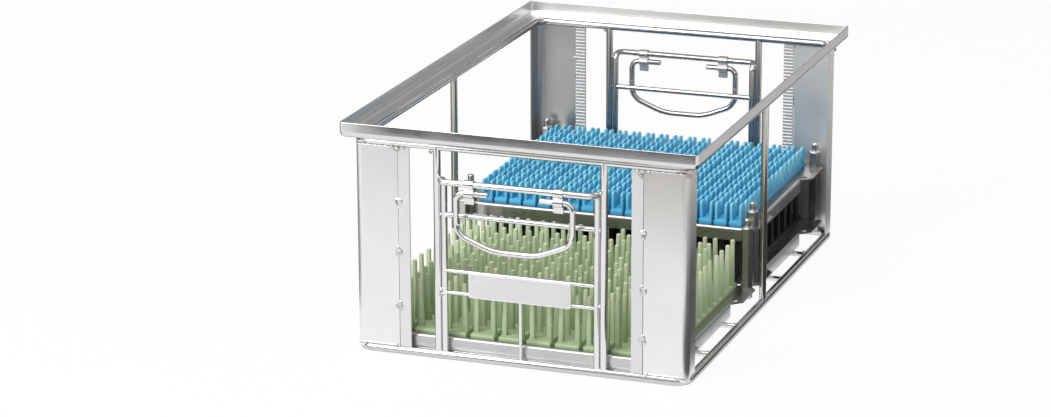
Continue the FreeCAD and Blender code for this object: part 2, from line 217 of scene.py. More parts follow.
def smoothed_copy(node, name, material, body, sharp_angle, edge):
    """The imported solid's own surface with its points joined, so that its bends shade smoothly."""
    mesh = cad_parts[node].data.copy()
    mesh.name = name
    bm = bmesh.new()
    bm.from_mesh(mesh)
    bmesh.ops.remove_doubles(bm, verts=bm.verts, dist=0.00001)
    bmesh.ops.dissolve_limit(bm, angle_limit=math.radians(0.5), verts=bm.verts, edges=bm.edges)
    bm.to_mesh(mesh)
    bm.free()
    mesh.shade_smooth()
    mesh.set_sharp_from_angle(angle=math.radians(sharp_angle))
    piece = new_piece(name, mesh, material, (node,), body)
    if edge:
        soften(piece, edge, 1, sharp_angle)
    else:
        add_modifier(piece, "WEIGHTED_NORMAL", keep_sharp=True)


# Node trees

def add_node(tree, kind, inputs=None, **settings):
    """A node with its settings. Each input takes a value, a link or a list of links."""
    made = tree.nodes.new(kind)
    for key, value in settings.items():
        setattr(made, key, value)
    for key, value in (inputs or {}).items():
        for source in (value if isinstance(value, list) else [value]):
            if isinstance(source, bpy.types.NodeSocket):
                tree.links.new(source, made.inputs[key])
            else:
                made.inputs[key].default_value = source
    return made


def node_group(name, kind, takes, gives):
    """An empty node tree with its sockets, what comes in from them and what goes out to them."""
    tree = bpy.data.node_groups.new(name, kind)
    for direction, sockets in (("INPUT", takes), ("OUTPUT", gives)):
        for label, value_kind in sockets:
            tree.interface.new_socket(name=label, in_out=direction, socket_type="NodeSocket" + value_kind)
    return tree, tree.nodes.new("NodeGroupInput").outputs, tree.nodes.new("NodeGroupOutput").inputs


def noise(tree, place, scale, detail=3.0, roughness=0.5):
    inputs = {"Vector": place, "Scale": scale, "Detail": detail, "Roughness": roughness}
    return add_node(tree, "ShaderNodeTexNoise", inputs).outputs["Fac"]


def maths(tree, kind, *values, clamp=False):
    inputs = dict(enumerate(values))
    return add_node(tree, "ShaderNodeMath", inputs, operation=kind, use_clamp=clamp).outputs[0]


def span(tree, value, low, high, to_low=0.0, to_high=1.0):
    """Carries a value from one span over to another one and keeps it inside."""
    inputs = {"Value": value, "From Min": low, "From Max": high, "To Min": to_low, "To Max": to_high}
    return add_node(tree, "ShaderNodeMapRange", inputs).outputs["Result"]


def blend_colour(tree, share, a, b):
    """Colour a turned into colour b by a share. Each is three numbers or a link."""
    a, b = ((*colour, 1.0) if isinstance(colour, tuple) else colour for colour in (a, b))
    return add_node(tree, "ShaderNodeMix", {0: share, 6: a, 7: b}, data_type="RGBA").outputs[2]


def object_place(tree):
    return tree.nodes.new("ShaderNodeTexCoord").outputs["Object"]


def axes(tree, place):
    return add_node(tree, "ShaderNodeSeparateXYZ", {0: place}).outputs


# Materials

def metal_finish_group():
    """Drawn or rolled grain and soft smudges for every steel surface."""
    group, takes, gives = node_group(
        "metal_finish", "ShaderNodeTree",
        (("Light Colour", "Color"), ("Dark Colour", "Color"), ("Roughness", "Float"), ("Grain", "Vector"),
         ("Grain Amount", "Float"), ("Smudge Amount", "Float")),
        (("Colour", "Color"), ("Roughness", "Float"), ("Height", "Float")))
    place = object_place(group)
    stretched = add_node(group, "ShaderNodeVectorMath", {0: place, 1: takes["Grain"]}, operation="MULTIPLY")
    grain = noise(group, stretched.outputs[0], 1.0, 4.0, 0.6)
    smudge = span(group, noise(group, place, 26.0, 4.0, 0.6), 0.35, 0.68)
    grain_part = maths(group, "MULTIPLY", maths(group, "SUBTRACT", grain, 0.5), takes["Grain Amount"])
    smudge_part = maths(group, "MULTIPLY", maths(group, "SUBTRACT", smudge, 0.5), takes["Smudge Amount"])
    both = maths(group, "ADD", grain_part, smudge_part)
    tone = maths(group, "ADD", maths(group, "MULTIPLY", both, 2.2), 0.45, clamp=True)
    colour = blend_colour(group, tone, takes["Light Colour"], takes["Dark Colour"])
    rough = maths(group, "ADD", takes["Roughness"], both, clamp=True)
    for label, result in (("Colour", colour), ("Roughness", rough), ("Height", grain)):
        group.links.new(result, gives[label])
    return group


def principled(name):
    made = bpy.data.materials.new(name)
    made.use_nodes = True
    return made, made.node_tree, made.node_tree.nodes["Principled BSDF"]


def add_bump(tree, shader, height, strength, distance):
    bump = add_node(tree, "ShaderNodeBump", {"Strength": strength, "Distance": distance, "Height": height})
    tree.links.new(bump.outputs["Normal"], shader.inputs["Normal"])


def steel(name, light, dark, rough, grain, grain_amount, smudge_amount, bump):
    """Steel between a light and a dark tone, with its grain given per metre along X, Y and Z."""
    made, tree, shader = principled(name)
    shader.inputs["Metallic"].default_value = 1.0
    finish = add_node(tree, "ShaderNodeGroup", node_tree=METAL_FINISH)
    for label, value in (("Light Colour", (*light, 1)), ("Dark Colour", (*dark, 1)), ("Roughness", rough),
                         ("Grain", grain), ("Grain Amount", grain_amount), ("Smudge Amount", smudge_amount)):
        finish.inputs[label].default_value = value
    tree.links.new(finish.outputs["Colour"], shader.inputs["Base Color"])
    tree.links.new(finish.outputs["Roughness"], shader.inputs["Roughness"])
    add_bump(tree, shader, finish.outputs["Height"], bump, GRAIN_DEPTH)
    return made


def tint(made, share, colour):
    """Blends a material's base colour towards another one by a share."""
    tree = made.node_tree
    base = tree.nodes["Principled BSDF"].inputs["Base Color"]
    tree.links.new(blend_colour(tree, share, base.links[0].from_socket, colour), base)


def ridged_steel(name, light, dark, rough):
    """Strip steel that darkens in the narrow gaps between its ridges, where little light reaches."""
    made = steel(name, light, dark, rough, (40, 40, 300), 0.05, 0.05, 0.01)
    tree = made.node_tree
    tree.nodes["Principled BSDF"].inputs["Metallic"].default_value = 0.5
    across = axes(tree, object_place(tree))
    half, start = RIDGE_PITCH / 2, RING_BOTTOM_Z - RIDGE_PITCH / 2
    gap_core, gap_reach, ridge_side, gap_colour = 0.3, 0.8, 1.3, (0.62, 0.615, 0.61)
    along = maths(tree, "MODULO", maths(tree, "SUBTRACT", across["Z"], start * MM), RIDGE_PITCH * MM)
    from_gap = maths(tree, "ABSOLUTE", maths(tree, "SUBTRACT", along, half * MM))
    gap = span(tree, from_gap, gap_core * MM, gap_reach * MM, 1.0, 0.0)
    inside = maths(tree, "LESS_THAN", maths(tree, "ABSOLUTE", across["Y"]), (POST[1] - ridge_side) * MM)
    tint(made, maths(tree, "MULTIPLY", gap, inside), gap_colour)
    return made


def shaded_along(made, axis, low, high, colour, most=1.0):
    """Paints light or shade into a material along an axis of the carrier, from none to the most between two
    places in metres.
    """
    tree = made.node_tree
    share = span(tree, axes(tree, object_place(tree))[axis], low, high, 0.0, most)
    tint(made, share, colour)
    return share


def shade_and_roughness_behind(made, colour):
    """Paints shade into a wire towards the back end, warmer and darker there, and makes it a little rougher.
    """
    near, far, most, rougher = 0.05, 0.25, 0.9, 0.07
    tree = made.node_tree
    gloss = tree.nodes["Principled BSDF"].inputs["Roughness"]
    plain = gloss.links[0].from_socket
    share = shaded_along(made, "Y", near, far, colour, most)
    tree.links.new(maths(tree, "ADD", plain, maths(tree, "MULTIPLY", share, rougher)), gloss)


def painted_dark_outline(made, most):
    """Paints shade into a round wire towards its outline, as dark reflections along its edges."""
    first, full, outline_shade_colour = 0.42, 0.82, (0.16, 0.16, 0.165)
    tree = made.node_tree
    facing = tree.nodes.new("ShaderNodeLayerWeight").outputs["Facing"]
    tint(made, span(tree, facing, first, full, 0.0, most), outline_shade_colour)


def silicone(name, light, dark, mirrored, slab, tip, rough):
    """Moulded silicone, each finger in its own tone, with painted shade towards the feet and the slab, and a
    darker painted colour in reflections.
    """
    own_tone, mottling, foot_shade, slab_shade, slab_edge, reflection_shade_share = 0.40, 0.15, 0.55, 0.6, 0.9, 0.7
    made, tree, shader = principled(name)
    tone = add_node(tree, "ShaderNodeAttribute", attribute_name="finger_tone").outputs["Fac"]
    place = object_place(tree)
    mottle = noise(tree, place, 260.0)
    height = axes(tree, place)["Z"]
    # Painted shade: darker towards the feet of the fingers and at the slab
    rise = span(tree, height, slab * MM, tip * MM, foot_shade, 0.0)
    slab_shade_share = span(tree, height, slab * MM, (slab + slab_edge) * MM, slab_shade, 0.0)
    varied = maths(tree, "ADD", maths(tree, "MULTIPLY", tone, own_tone),
                   maths(tree, "MULTIPLY", mottle, mottling))
    tone_and_shade = maths(tree, "ADD", varied, maths(tree, "ADD", rise, slab_shade_share), clamp=True)
    # Painted reflection: glossy rays see a darker colour
    glossy = tree.nodes.new("ShaderNodeLightPath").outputs["Is Glossy Ray"]
    own = blend_colour(tree, tone_and_shade, light, dark)
    colour = blend_colour(tree, maths(tree, "MULTIPLY", glossy, reflection_shade_share), own, mirrored)
    tree.links.new(colour, shader.inputs["Base Color"])
    tree.links.new(span(tree, mottle, 0.3, 0.7, rough - 0.06, rough + 0.08), shader.inputs["Roughness"])
    shader.inputs["Specular IOR Level"].default_value = 0.4
    add_bump(tree, shader, mottle, 0.15, MOTTLE_DEPTH)
    return made


def label_white():
    """Plain label card, a little uneven in tone and gloss."""
    made, tree, shader = principled("plain_label_card")
    place = object_place(tree)
    fibre = span(tree, noise(tree, place, 700.0, 4.0, 0.6), 0.3, 0.7)
    colour = blend_colour(tree, fibre, (0.70, 0.70, 0.705), (0.65, 0.65, 0.655))
    tree.links.new(colour, shader.inputs["Base Color"])
    tree.links.new(span(tree, noise(tree, place, 60.0), 0.3, 0.7, 0.28, 0.4), shader.inputs["Roughness"])
    return made


METAL_FINISH = metal_finish_group()
# Grain per metre along X, Y and Z, how far grain and smudges show, and the strength of the bump
DRAWN_WIRE = ((500, 500, 500), 0.05, 0.06, 0.03)
ROLLED_POST = ((420, 420, 14), 0.08, 0.10, 0.02)
ROLLED_TRAY = ((12, 700, 700), 0.14, 0.10, 0.03)

wire_steel = steel("electropolished_wire", (0.87, 0.87, 0.86), (0.73, 0.73, 0.73), 0.09, *DRAWN_WIRE)
# A darker copy of the wire steel for the lower ring: painted shade
painted_shade_lower_ring = steel("lower_ring_painted_shade", (0.66, 0.66, 0.65), (0.55, 0.55, 0.54), 0.10, *DRAWN_WIRE)
side_rod_steel = steel("side_rod_wire", (0.68, 0.66, 0.63), (0.55, 0.53, 0.50), 0.14, *DRAWN_WIRE)
# Painted shade on the wires towards the back end
shade_and_roughness_behind(wire_steel, (0.57, 0.545, 0.53))
# Painted dark reflections along the outlines of the round wires
for finish in (wire_steel, painted_shade_lower_ring, side_rod_steel):
    painted_dark_outline(finish, 0.65)

rim_steel = steel("rim_sheet", (0.80, 0.80, 0.80), (0.66, 0.66, 0.66), 0.12, (14, 14, 500), 0.10, 0.05, 0.02)
rim_inside_steel = steel("rim_sheet_inside", (0.76, 0.76, 0.76), (0.64, 0.64, 0.64), 0.34,
                         (14, 14, 500), 0.08, 0.06, 0.01)
# Painted light: the rim's inside is tinted paler towards its back lip
shaded_along(rim_inside_steel, "Y", 0.290, 0.297, (0.96, 0.945, 0.925))

post_look = ((0.93, 0.925, 0.915), (0.86, 0.855, 0.85), 0.34, *ROLLED_POST)
post_steel, right_post_steel = steel("post_sheet", *post_look), steel("right_post_sheet", *post_look)
# Painted shade: the front right post turns a darker brownish grey towards its top
shaded_along(right_post_steel, "Z", 0.14, 0.24, (0.70, 0.66, 0.61), 0.6)
# A darker copy of the post steel for the back left post: painted shade
painted_shade_rear_left_post = steel("rear_left_post_painted_shade", (0.63, 0.615, 0.60), (0.52, 0.51, 0.50), 0.40,
                             (420, 420, 14), 0.08, 0.14, 0.02)
rear_right_post_steel = steel("rear_post_sheet", (0.96, 0.95, 0.93), (0.86, 0.85, 0.84), 0.46,
                              (420, 420, 14), 0.06, 0.08, 0.02)
POST_FINISHES = {("front", "left"): post_steel, ("front", "right"): right_post_steel,
                 ("back", "left"): painted_shade_rear_left_post, ("back", "right"): rear_right_post_steel}

# Darker than the front straps: painted shade, with a rougher finish
rear_strap_steel = steel("rear_strap_sheet", (0.74, 0.71, 0.68), (0.60, 0.57, 0.54), 0.42,
                         (40, 40, 300), 0.08, 0.10, 0.02)
strip_steel = ridged_steel("rack_strip_sheet", (0.77, 0.76, 0.75), (0.69, 0.685, 0.68), 0.55)
tray_steel = steel("tray_sheet", (0.65, 0.65, 0.645), (0.51, 0.51, 0.505), 0.33, *ROLLED_TRAY)
# A darker copy of the tray steel for the upper tray: painted shade
painted_shade_upper_tray = steel("upper_tray_painted_shade", (0.60, 0.57, 0.56), (0.46, 0.44, 0.43), 0.30, *ROLLED_TRAY)
pin_steel = steel("turned_stand_off", (0.66, 0.65, 0.63), (0.52, 0.51, 0.495), 0.24,
                  (60, 60, 900), 0.05, 0.05, 0.012)
weld_steel = steel("weld_bead", (0.86, 0.86, 0.85), (0.50, 0.49, 0.47), 0.26,
                   (900, 900, 900), 0.30, 0.20, 0.35)
tinted_weld = steel("heat_tinted_weld", (0.68, 0.63, 0.55), (0.42, 0.36, 0.29), 0.36,
                    (800, 800, 800), 0.30, 0.30, 0.3)
# Painted shadow: a dark steel for thin lines where the joints between posts and rings lie in shade
joint_shadow_steel = steel("painted_joint_shadow", (0.30, 0.29, 0.28), (0.20, 0.195, 0.19), 0.5,
                      (600, 600, 600), 0.10, 0.10, 0.1)

# Light and dark tone, the dark one also the painted shade at the feet, the painted colour that steel mirrors,
# the heights of slab and tips, and the roughness
green_silicone = silicone("pale_green_silicone", (0.86, 0.94, 0.68), (0.31, 0.43, 0.22),
                          (0.30, 0.36, 0.22), 24.7, 80.0, 0.5)
blue_silicone = silicone("sky_blue_silicone", (0.31, 0.81, 0.98), (0.03, 0.40, 0.73),
                         (0.09, 0.19, 0.33), 90.8, 113.0, 0.42)
black_silicone = silicone("black_silicone", (0.04, 0.04, 0.042), (0.015, 0.015, 0.017),
                          (0.03, 0.03, 0.032), 24.7, 80.0, 0.48)
label_card = label_white()


# Frame of the carrier

def stacking_rim():
    """Folded rim: the section is swept round the four sides, with tight rounded corners."""
    outside = [(0.0, RIM_TOP)] + [(x, RIM_FOOT + z) for x, z in bend_arc(RIM_BEND, RIM_BEND)]
    outside += [(RIM_LEDGE, RIM_FOOT), (RIM_LEDGE, RIM_FOOT + RIM_SHEET)]
    inside = [(x, RIM_FOOT + z) for x, z in bend_arc(RIM_BEND, RIM_BEND - RIM_SHEET)[::-1]]
    inside += [(RIM_SHEET, RIM_TOP)]
    bm = bmesh.new()
    loops = []
    steps = 6
    for inset, height in outside + inside:
        radius = max(RIM_CORNER - inset, RIM_CORNER_LEAST)
        loop = []
        for corner, (sx, sy) in enumerate(((1, -1), (1, 1), (-1, 1), (-1, -1))):
            cx = sx * (RIM_HALF[0] - inset - radius)
            cy = sy * (RIM_HALF[1] - inset - radius)
            for j in range(steps + 1):
                turn = math.radians(-90 + 90 * corner + 90 * j / steps)
                place = (cx + radius * math.cos(turn), cy + radius * math.sin(turn), height)
                loop.append(bm.verts.new(place))
        loops.append(loop)
    for k, high in enumerate(loops):
        low = loops[k - 1]
        for j in range(len(high)):
            face = bm.faces.new((low[j - 1], low[j], high[j], high[j - 1]))
            face.material_index = int(k >= len(outside))
    piece = new_piece("folded_stacking_rim", bm, None, ("stacking_rim",), sharp_angle=50)
    piece.data.materials.append(rim_steel)
    piece.data.materials.append(rim_inside_steel)
    soften(piece, 0.35, 2, 50)


def wire_rings():
    x, y = RING
    for name, node, z, diameter, finish in (
            ("upper_wire_ring", "top_ring", RING_TOP_Z, TOP_RING_WIRE, wire_steel),
            ("lower_wire_ring", "bottom_ring", RING_BOTTOM_Z, BOTTOM_RING_WIRE, painted_shade_lower_ring)):
        wire_piece(name, node, finish, [(x, -y, z), (x, y, z), (-x, y, z), (-x, -y, z)], diameter,
                   [RING_CORNER] * 4, closed=True)


def corner_post(end, side_y, hand, side_x):
    """Folded sheet post with a rounded bend between its wide face and its side flange."""
    section = [(POST_WIDE, 0.0)] + bend_arc(POST_BEND, POST_BEND)[::-1] + [(0.0, POST_FLANGE)]
    section += [(POST_SHEET, POST_FLANGE)] + bend_arc(POST_BEND, POST_BEND - POST_SHEET)
    section += [(POST_WIDE, POST_SHEET)]
    bm = bmesh.new()
    skin(bm, [[bm.verts.new((side_x * (POST[0] - u), side_y * (POST[1] - v), z)) for u, v in section]
              for z in (RING_BOTTOM_Z, RING_TOP_Z)])
    piece = new_piece("folded_post_%s_%s" % (end, hand), bm, POST_FINISHES[end, hand],
                      ("corner_post_%s_%s" % (end, hand),))
    soften(piece, 0.3)


def set_on_points(tree, points, piece, **more):
    """Sets a piece on each point."""
    shape = add_node(tree, "GeometryNodeObjectInfo", {"Object": piece}).outputs["Geometry"]
    inputs = {"Points": points, "Instance": shape, **more}
    return add_node(tree, "GeometryNodeInstanceOnPoints", inputs).outputs["Instances"]


def random_value(tree, kind, inputs):
    return add_node(tree, "FunctionNodeRandomValue", inputs, data_type=kind).outputs


def join_and_paint(tree, parts, takes, gives):
    """Joins the parts as real geometry and gives the whole its material."""
    whole = add_node(tree, "GeometryNodeJoinGeometry", {"Geometry": parts}).outputs["Geometry"]
    real = add_node(tree, "GeometryNodeRealizeInstances", {"Geometry": whole}).outputs["Geometry"]
    paint = add_node(tree, "GeometryNodeSetMaterial", {"Geometry": real, "Material": takes["Material"]})
    tree.links.new(paint.outputs["Geometry"], gives["Geometry"])


def repeat_tree():
    """Node tree that repeats one piece along a line."""
    tree, takes, gives = node_group(
        "repeat_along_line", "GeometryNodeTree",
        (("Geometry", "Geometry"), ("Piece", "Object"), ("Count", "Int"), ("Step", "Vector"),
         ("Start", "Vector"), ("Material", "Material")),
        (("Geometry", "Geometry"),))
    line = add_node(tree, "GeometryNodeMeshLine", {
        "Count": takes["Count"], "Start Location": takes["Start"], "Offset": takes["Step"]}, mode="OFFSET")
    copies = set_on_points(tree, line.outputs["Mesh"], takes["Piece"])
    join_and_paint(tree, [copies, takes["Geometry"]], takes, gives)
    return tree


def grown(name, mesh, tree, values):
    """Runs a node tree on a mesh and returns the result as a plain mesh."""
    seed_piece = placed(name + "_seed", mesh)
    modifier = seed_piece.modifiers.new("Grow", "NODES")
    modifier.node_group = tree
    names = {item.name: item.identifier for item in tree.interface.items_tree
             if item.item_type == "SOCKET" and item.in_out == "INPUT"}
    for key, value in values.items():
        modifier[names[key]] = value
    bpy.context.view_layer.update()
    depsgraph = bpy.context.evaluated_depsgraph_get()
    made = bpy.data.meshes.new_from_object(seed_piece.evaluated_get(depsgraph), depsgraph=depsgraph)
    made.name = name
    bpy.data.objects.remove(seed_piece)
    return made


def template(name, bm, sharp_angle):
    """A piece to repeat, kept out of the scene's view."""
    return bpy.data.objects.new(name, mesh_from(name, bm, sharp_angle))


def rack_strip(end, side_y, hand, side_x):
    """Flat strip beside the post with rounded ridges on its inner face."""
    near, face = POST[0] - STRIP_EDGE, POST[1] - STRIP_SHEET
    xs = sorted((side_x * near, side_x * (near - STRIP_WIDTH)))
    ys = sorted((side_y * POST[1], side_y * face))
    bm = bmesh.new()
    box_into(bm, (xs[0], ys[0], RING_BOTTOM_Z), (xs[1], ys[1], RING_TOP_Z))
    flat = mesh_from("strip_flat", bm)
    bm = bmesh.new()
    turns = [math.radians(a) for a in range(0, 181, 36)]
    section = [(side_y * (face - RIDGE_RISE * math.sin(a)), RIDGE_HALF * math.cos(a)) for a in turns]
    skin(bm, [[bm.verts.new((x, y, z)) for y, z in section]
              for x in (xs[0] + RIDGE_INSET, xs[1] - RIDGE_INSET)])
    name = "ridged_rack_strip_%s_%s" % (end, hand)
    mesh = grown(name, flat, REPEAT, {
        "Piece": template("strip_ridge", bm, 50), "Count": int((RING_TOP_Z - RING_BOTTOM_Z) / RIDGE_PITCH),
        "Step": (0.0, 0.0, RIDGE_PITCH * MM), "Start": (0.0, 0.0, (RING_BOTTOM_Z + RIDGE_PITCH / 2) * MM),
        "Material": strip_steel})
    new_piece(name, mesh, None, ("rack_strip_%s_%s" % (end, hand),))


def upright_rods():
    for end, side_y, hand, side_x in CORNERS:
        x, y = side_x * UPRIGHT_X, side_y * RING[1]
        wire_piece("upright_rod_%s_%s" % (end, hand), "grille_upright_%s_%s" % (end, hand), wire_steel,
                   [(x, y, RING_BOTTOM_Z), (x, y, RING_TOP_Z)], UPRIGHT_WIRE)
    for hand, side_x in HANDS:
        x = side_x * RING[0]
        wire_piece("side_rod_" + hand, "side_upright_" + hand, side_rod_steel,
                   [(x, 0, RING_BOTTOM_Z), (x, 0, RING_TOP_Z)], UPRIGHT_WIRE)


def handle_frames():
    """Wire frames bent out over both ends, each with a straight bar between its legs."""
    for end, side_y in ENDS:
        near, far = side_y * RING[1], side_y * BAR_Y
        wire_piece("bent_handle_frame_" + end, "handle_frame_" + end, wire_steel,
                   [(-LEG_X, near, RING_BOTTOM_Z), (-LEG_X, near, BAR_Z), (-LEG_X, far, BAR_Z),
                    (LEG_X, far, BAR_Z), (LEG_X, near, BAR_Z), (LEG_X, near, RING_BOTTOM_Z)],
                   FRAME_WIRE, [FRAME_BEND] * 4, sides=22)
        wire_piece("cross_bar_" + end, "cross_rod_" + end, wire_steel,
                   [(-LEG_X, near, CROSS_BAR_Z), (LEG_X, near, CROSS_BAR_Z)], ROD_WIRE)


def drop_handles():
    """Handles that hang a little left of the middle, and the folded straps that carry them."""
    outline = [(-x, z) for x, z in HANDLE_HALF] + HANDLE_HALF[::-1]
    for end, side_y, shift, strap_finish in (
            ("front", -1, -1.5, wire_steel), ("back", 1, -4.5, rear_strap_steel)):
        wire_piece("swinging_handle_" + end, "drop_handle_" + end, wire_steel,
                   [(shift + x, side_y * BAR_Y, z) for x, z in outline], HANDLE_WIRE, HANDLE_BENDS,
                   end + "_drop_handle", sides=22, rounded_ends=0.9)
        smoothed_copy("handle_clips_" + end, "handle_straps_" + end, strap_finish, "carrier", 40, 0.25)


def label_holder():
    """Two wires and an upright one that hold a back plate with a bare card on it."""
    y = -RING[1]
    for name, node, z in (("label_wire_upper", "label_rod_top", LABEL_ROD_TOP_Z),
                          ("label_wire_lower", "label_rod_bottom", LABEL_ROD_BOTTOM_Z)):
        wire_piece(name, node, wire_steel, [(-LEG_X, y, z), (LEG_X, y, z)], LABEL_WIRE, sides=16)
    wire_piece("label_support_wire", "label_drop_wire", wire_steel,
               [(0, y, RING_BOTTOM_Z), (0, y, LABEL_ROD_BOTTOM_Z)], LABEL_SUPPORT_WIRE, sides=16)
    smoothed_copy("label_plate", "label_back_plate", post_steel, "carrier", 30, 0.25)
    bm = bmesh.new()
    box_into(bm, (-CARD_HALF, CARD_FRONT_Y, CARD_BOTTOM), (CARD_HALF, CARD_BACK_Y, CARD_TOP))
    corners = [e for e in bm.edges if abs(e.verts[0].co.y - e.verts[1].co.y) > 0.1]
    bmesh.ops.bevel(bm, geom=corners, offset=1.8, segments=4, affect="EDGES")
    card = new_piece("plain_label", bm, label_card, ("label_card",))
    soften(card, 0.12)
    bm = bmesh.new()
    for k, (x, z) in enumerate(((-53.0, 96.4), (-50.1, 86.5), (49.4, 95.8), (48.3, 86.1))):
        puddle_into(bm, x, CARD_FRONT_Y + 0.08, z, -1, 1.3 * k, 1.8, 1.8, 0.4)
    new_piece("label_dimples", bm, label_card, (), sharp_angle=60)


def support_rods():
    bm = bmesh.new()
    for y in SUPPORT_ROD_Y:
        wire_into(bm, [(-RING[0], y, RING_BOTTOM_Z), (RING[0], y, RING_BOTTOM_Z)], ROD_WIRE)
    new_piece("tray_support_wires", bm, wire_steel, ("support_rods",))


def weld_tree():
    """Node tree that sets a bead on each point, turned and sized at random."""
    tree, takes, gives = node_group(
        "weld_beads", "GeometryNodeTree",
        (("Geometry", "Geometry"), ("Bead", "Object"), ("Smallest", "Float"), ("Largest", "Float"),
         ("Seed", "Int"), ("Material", "Material")),
        (("Geometry", "Geometry"),))
    full_turn = (6.28, 6.28, 6.28)
    turn = random_value(tree, "FLOAT_VECTOR", {1: full_turn, "Seed": takes["Seed"]})[0]
    size = random_value(tree, "FLOAT", {2: takes["Smallest"], 3: takes["Largest"], "Seed": takes["Seed"]})[1]
    beads = set_on_points(tree, takes["Geometry"], takes["Bead"], Rotation=turn, Scale=size)
    join_and_paint(tree, [beads], takes, gives)
    return tree


def bead_template():
    """A small frozen drop of weld metal, uneven all round."""
    bm = bmesh.new()
    bmesh.ops.create_icosphere(bm, subdivisions=2, radius=2.0)
    for vert in bm.verts:
        x, y, z = vert.co
        lump = 1 + 0.16 * math.sin(2.1 * x + 1.3 * z) * math.cos(1.7 * y) + 0.07 * math.sin(4.3 * y + x)
        vert.co = Vector((x * lump, y * lump * 0.8, z * lump * 0.9))
    return template("weld_drop", bm, 180)


def puddle_into(bm, x, y, z, out, pick, wide, tall, lift=1.0):
    """A flat puddle with an uneven edge and a sunken middle, on a face that looks along Y, out or in."""
    rings = []
    for reach, rise in ((1.0, -0.2), (0.9, 0.55 * lift), (0.66, 0.95 * lift), (0.36, 0.6 * lift)):
        ring = []
        for turn in round_turn(18):
            edge = 1 + 0.17 * math.sin(3 * turn + pick) + 0.10 * math.sin(5 * turn + 2.3 * pick)
            lump = rise * (1 + 0.35 * math.sin(2 * turn + 1.7 * pick))
            ring.append(bm.verts.new((x + wide * reach * edge * math.cos(turn), y + out * lump,
                                      z + tall * reach * edge * math.sin(turn))))
        rings.append(ring)
    skin(bm, rings)


def weld_line_into(bm, start, end, pick, thick):
    """A thin uneven weld line between two places."""
    start, end = Vector(start), Vector(end)
    count = max(3, round((end - start).length / 2.0))
    along = (end - start).normalized()
    across = along.orthogonal().normalized()
    up = along.cross(across)
    rings = []
    for k in range(count + 1):
        wave = math.sin(1.9 * k + pick) * 0.14 + math.sin(3.1 * k + 2.0 * pick) * 0.1
        place = start.lerp(end, k / count) + Vector((0, 0, 0.2 * math.sin(1.3 * k + pick)))
        reach = (thick + wave) * (0.35 if k in (0, count) else 1.0)
        rings.append([bm.verts.new(place + (across * math.cos(t) + up * math.sin(t)) * reach)
                      for t in round_turn(8)])
    skin(bm, rings)


# Tacks at each corner. Seam tacks: Z. Wires and posts: X and Z. Tinted ones: X, how far off the post, and Z.
SEAM_X = 137.5
SEAM_TACKS = {"left": (171.6, 116.8, 55.6), "right": (164.0, 102.0, 47.5)}
WIRE_TACKS = ((UPRIGHT_X, 10.0), (LEG_X, 10.0), (90.2, 203.5), (89.5, CROSS_BAR_Z), (89.8, 79.0),
              (LEG_X, 164.5), (LEG_X - 3.0, 162.0))
POST_TACKS = ((144.0, 232.5), (131.0, 232.8), (138.0, 231.6), (178.0, 9.6), (142.0, 9.8))
TINTED_TACKS = {"left": ((-99.6, 0.2, 231.7), (-139.6, 0.0, 230.1)),
                "right": ((134.4, 0.0, 227.7), (186.4, -0.8, 231.8))}


def weld_places():
    """Where wires and sheets are tacked together on the carrier: long seam tacks, beads and tinted spots."""
    seams, plain, tinted = [], [], []
    for _, side_y, hand, side_x in CORNERS:
        y, face = side_y * (RING[1] + 1.2), side_y * POST[1]
        seams += [(side_x * SEAM_X, face, z) for z in SEAM_TACKS[hand]]
        plain += [(side_x * x, y, z) for x, z in WIRE_TACKS]
        plain += [(side_x * x, face, z) for x, z in POST_TACKS]
        tinted += [(x, side_y * (POST[1] + out), z) for x, out, z in TINTED_TACKS[hand]]
    tinted += [(-88.8, -(RING[1] + 3.4), 73.7)]
    for z in (LABEL_ROD_TOP_Z, LABEL_ROD_BOTTOM_Z):
        plain += [(side_x * (LEG_X - 2.8), -RING[1] - 1.0, z) for _, side_x in HANDS]
    for _, side_x in HANDS:
        plain += [(side_x * (RING[0] - 2.0), 3.6, 10.0), (side_x * (RING[0] - 2.0), -3.6, 233.0)]
        plain += [(side_x * (RING[0] - 4.6), y, 7.0) for y in SUPPORT_ROD_Y]
    return seams, plain, tinted


def weld_marks():
    """Tacks, heat-tinted spots and weld lines, and thin dark lines of painted shadow in the joints beside
    them.
    """
    seams, plain, tinted = weld_places()
    bm = bmesh.new()
    for k, (x, y, z) in enumerate(seams):
        puddle_into(bm, x, y, z, math.copysign(1, y), 1.9 * k + 0.4, 4.2, 5.9, 1.3)
    puddle_into(bm, -138.0, POST[1] - POST_SHEET, 193.0, -1, 0.7, 2.4, 3.2, 1.6)
    new_piece("seam_tacks", bm, weld_steel, (), sharp_angle=60)
    bm = bmesh.new()
    for k, (x, y, z) in enumerate(tinted):
        puddle_into(bm, x, y, z, math.copysign(1, y), 2.3 * k + 1.1, 2.6, 2.7)
    new_piece("heat_tinted_tacks", bm, tinted_weld, (), sharp_angle=60)
    # The second set of lines is painted shadow along the joints
    for name, finish, out, heights, outer, inner, pick, thick in (
            ("post_weld_lines", post_steel, 0.1, (232.8, 10.3), 184.0, 141.0, 1.7, 0.6),
            ("post_joint_lines", joint_shadow_steel, 0.15, (234.1, 9.1), 185.5, 126.0, 0.9, 0.5)):
        bm = bmesh.new()
        for k, (side_x, side_y) in enumerate(((1, 1), (-1, 1), (1, -1), (-1, -1))):
            y = side_y * (POST[1] + out)
            for z in heights:
                weld_line_into(bm, (side_x * outer, y, z), (side_x * inner, y, z), pick * k + z, thick)
        new_piece(name, bm, finish, (), sharp_angle=60)
    points = bpy.data.meshes.new("weld_tack_places")
    points.from_pydata([[c * MM for c in p] for p in plain], [], [])
    mesh = grown("weld_tacks", points, weld_tree(), {
        "Bead": bead_template(), "Smallest": 0.95, "Largest": 1.45, "Seed": 7, "Material": weld_steel})
    new_piece("weld_tacks", mesh, None, ())


